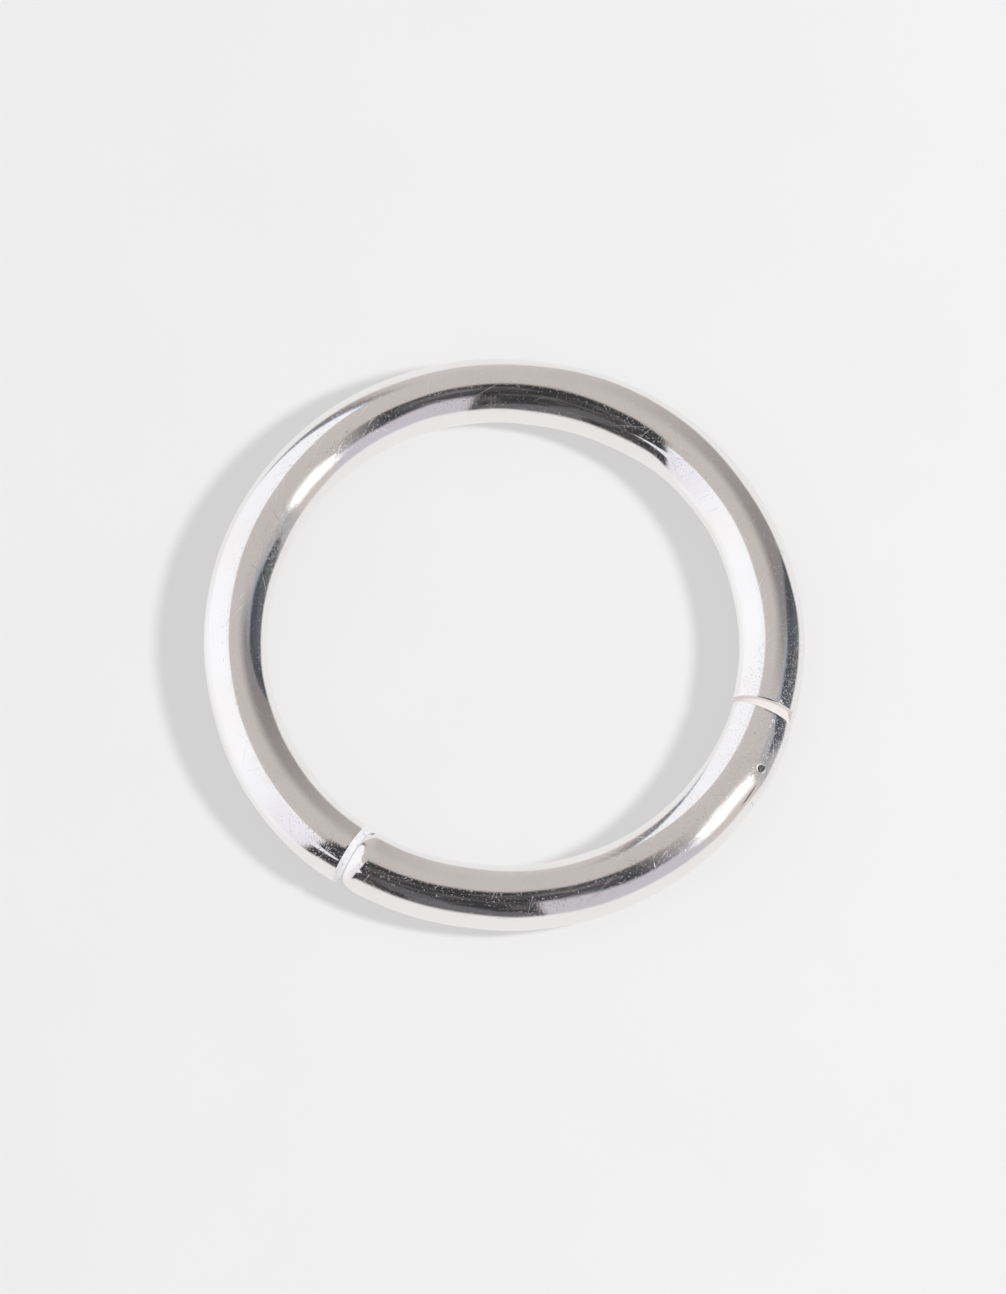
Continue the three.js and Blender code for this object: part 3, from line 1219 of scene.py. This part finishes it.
class RING_OT_body(bpy.types.Operator):
    """Models the long round wire with its hinge tongue and its catch tongue"""

    bl_idname = "ring.body"
    bl_label = "Ring body"

    def execute(self, context):
        hinge, catch = context.scene.ring_hinge, context.scene.ring_catch
        body = spin_wire("body_silver", hinge.seam_angle - SPARE,
                         catch.seam_angle + math.tau + SPARE)
        make_uneven(body)
        close_end(body, WireEnd(hinge_seam(), 1, hinge.body_rim, hinge.body_rim, 3))
        rim_depth = catch.body_rim * BODY_RIM_DEPTH
        close_end(body, WireEnd(catch_seam(), -1, catch.body_rim, rim_depth, 8))
        combine(body, self.hinge_tongue(hinge), "UNION")
        combine(body, self.catch_tongue(catch), "UNION")
        cut_nicks(body, BODY_NICKS)
        finish_piece(body, "ring", "ring_body", "silver", silver_material("polished_silver"),
                     filed_material())
        between_ends = 1.5 * math.pi
        file_faces(body, lambda angle: RIM_SLOPE if angle < between_ends else END_SLOPE)
        return {"FINISHED"}

    def hinge_tongue(self, hinge):
        """A flat tongue sliced from the wire, a little thinner sideways, with its pin hole."""
        sizes = bpy.context.scene.ring_sizes
        tongue = spin_wire("hinge_tongue", hinge.tongue_end, hinge.seam_angle + SPARE)
        make_uneven(tongue)
        swell_outward(tongue, lambda angle: hinge_swell(angle) - TONGUE_FILED)
        edit(tongue)
        half = hinge.tongue_thickness / 2
        for side in (1, -1):
            bpy.ops.mesh.select_all(action="SELECT")
            bpy.ops.mesh.bisect(
                plane_co=(0.0, 0.0, sizes.wire_radius + side * half),
                plane_no=UP * side,
                clear_outer=True,
                use_fill=True,
                threshold=SPECK,
            )
        bpy.ops.mesh.select_all(action="DESELECT")
        bpy.ops.mesh.select_mode(type="EDGE")
        bpy.ops.mesh.select_non_manifold()
        bpy.ops.mesh.edge_face_add()
        bpy.ops.mesh.select_all(action="SELECT")
        bpy.ops.mesh.fill_holes(sides=0)
        bpy.ops.mesh.normals_make_consistent(inside=False)
        bpy.ops.object.mode_set(mode="OBJECT")
        hole = add_rod("tongue_hole", hinge.pin_radius + TONGUE_CLEARANCE)
        combine(tongue, hole, "DIFFERENCE")
        return tongue

    def catch_tongue(self, catch):
        """The small tongue that the gate snaps over, its edges rounded."""
        width = CATCH_TONGUE_OUTER - CATCH_TONGUE_INNER
        size = (width, 2 * catch.tongue_length, catch.tongue_thickness)
        middle = CATCH_TONGUE_INNER + width / 2
        tongue = add_block("catch_tongue", catch.seam_angle, middle, size)
        edit(tongue)
        bpy.ops.mesh.select_all(action="SELECT")
        bpy.ops.mesh.bevel(offset=CATCH_TONGUE_ROUND, segments=3, affect="EDGES")
        bpy.ops.object.mode_set(mode="OBJECT")
        return tongue


class RING_OT_gate(bpy.types.Operator):
    """Models the hinged gate with its fork, its pin hole and the slot of its catch"""

    bl_idname = "ring.gate"
    bl_label = "Gate"

    def execute(self, context):
        hinge, catch = context.scene.ring_hinge, context.scene.ring_catch
        gate = spin_wire("gate_silver", catch.seam_angle - SPARE, hinge.seam_angle + SPARE)
        make_uneven(gate)
        swell_outward(gate, hinge_swell)
        rim_depth = catch.gate_rim * GATE_RIM_DEPTH
        close_end(gate, WireEnd(catch_seam(), 1, catch.gate_rim, rim_depth, 12))
        close_end(gate, WireEnd(hinge_seam(), -1, hinge.bevel_length, hinge.bevel_depth, 1,
                                hinge.bevel_lean))
        combine(gate, self.hinge_slot(hinge), "DIFFERENCE")
        combine(gate, self.catch_slot(catch), "DIFFERENCE")
        hole = add_rod("pin_hole", hinge.pin_radius + PIN_CLEARANCE)
        combine(gate, hole, "DIFFERENCE")
        cut_nicks(gate, GATE_NICKS)
        finish_piece(gate, "gate", "gate", "silver", bpy.data.materials["polished_silver"],
                     bpy.data.materials["filed_silver"])
        bevel_start = hinge.seam_angle - BEVEL_REACH
        file_faces(gate, lambda angle: BEVEL_SLOPE if angle > bevel_start else END_SLOPE)
        return {"FINISHED"}

    def hinge_slot(self, hinge):
        """The cutter for the slot right through the fork."""
        size = (CUTTER_REACH, CUTTER_REACH, hinge.slot_height)
        slot = add_block("hinge_slot", hinge.slot_floor, 0.0, size)
        slot.data.transform(Matrix.Translation(along_ring(hinge.slot_floor) * CUTTER_REACH / 2))
        return slot

    def catch_slot(self, catch):
        """The cutter for the catch's slot, which opens on the end and on the inner side."""
        size = (CUTTER_REACH, 2 * catch.slot_depth, catch.slot_height)
        middle = CATCH_SLOT_OUTER - CUTTER_REACH / 2
        return add_block("catch_slot", catch.seam_angle, middle, size)


class RING_OT_pin(bpy.types.Operator):
    """Models the rivet of the hinge, both its ends cut nearly level"""

    bl_idname = "ring.pin"
    bl_label = "Hinge pin"

    def execute(self, context):
        hinge, sizes = context.scene.ring_hinge, context.scene.ring_sizes
        pin = add_rod("hinge_rivet", hinge.pin_radius)
        rise = top_of_wire(angle_of(HINGE), HINGE.xy.length - sizes.ring_radius)
        lean = Vector((math.cos(PIN_SLOPE_AZIMUTH), math.sin(PIN_SLOPE_AZIMUTH), 0.0))
        edit(pin)
        for side in (1, -1):
            facing = lean * math.sin(PIN_SLOPE) + UP * side * math.cos(PIN_SLOPE)
            bpy.ops.mesh.select_all(action="SELECT")
            bpy.ops.mesh.bisect(
                plane_co=(HINGE.x, HINGE.y, HINGE.z + side * rise),
                plane_no=facing,
                clear_outer=True,
                use_fill=True,
                threshold=SPECK,
            )
            bpy.ops.mesh.bevel(offset=PIN_CHAMFER, segments=1, affect="EDGES")
        bpy.ops.object.mode_set(mode="OBJECT")
        finish_piece(pin, "gate", "hinge_pin", "pin", silver_material("ground_silver", 0.08))
        return {"FINISHED"}


class RING_PT_tools(bpy.types.Panel):
    """The ring's sizes, finishes and makers"""

    bl_label = "Clicker Ring"
    bl_idname = "RING_PT_tools"
    bl_space_type = "VIEW_3D"
    bl_region_type = "UI"
    bl_category = "Ring"

    def draw(self, context):
        layout = self.layout
        for operator in OPERATORS:
            layout.operator(operator.bl_idname)
        for attribute in GROUPS:
            group = getattr(context.scene, attribute)
            box = layout.box()
            for name in group.__annotations__:
                box.prop(group, name)


GROUPS = {
    "ring_sizes": RingSizes,
    "ring_hinge": HingeSizes,
    "ring_catch": CatchSizes,
    "ring_finish": Finish,
    "ring_studio": Studio,
}
OPERATORS = (RING_OT_stage, RING_OT_body, RING_OT_gate, RING_OT_pin)


def register():
    for attribute, group in GROUPS.items():
        bpy.utils.register_class(group)
        setattr(bpy.types.Scene, attribute, PointerProperty(type=group))
    for operator in OPERATORS:
        bpy.utils.register_class(operator)
    bpy.utils.register_class(RING_PT_tools)


def unregister():
    bpy.utils.unregister_class(RING_PT_tools)
    for operator in reversed(OPERATORS):
        bpy.utils.unregister_class(operator)
    for attribute, group in reversed(GROUPS.items()):
        delattr(bpy.types.Scene, attribute)
        bpy.utils.unregister_class(group)


def main():
    register()
    bpy.ops.ring.stage()
    bpy.ops.ring.body()
    bpy.ops.ring.gate()
    bpy.ops.ring.pin()


if __name__ == "__main__":
    main()
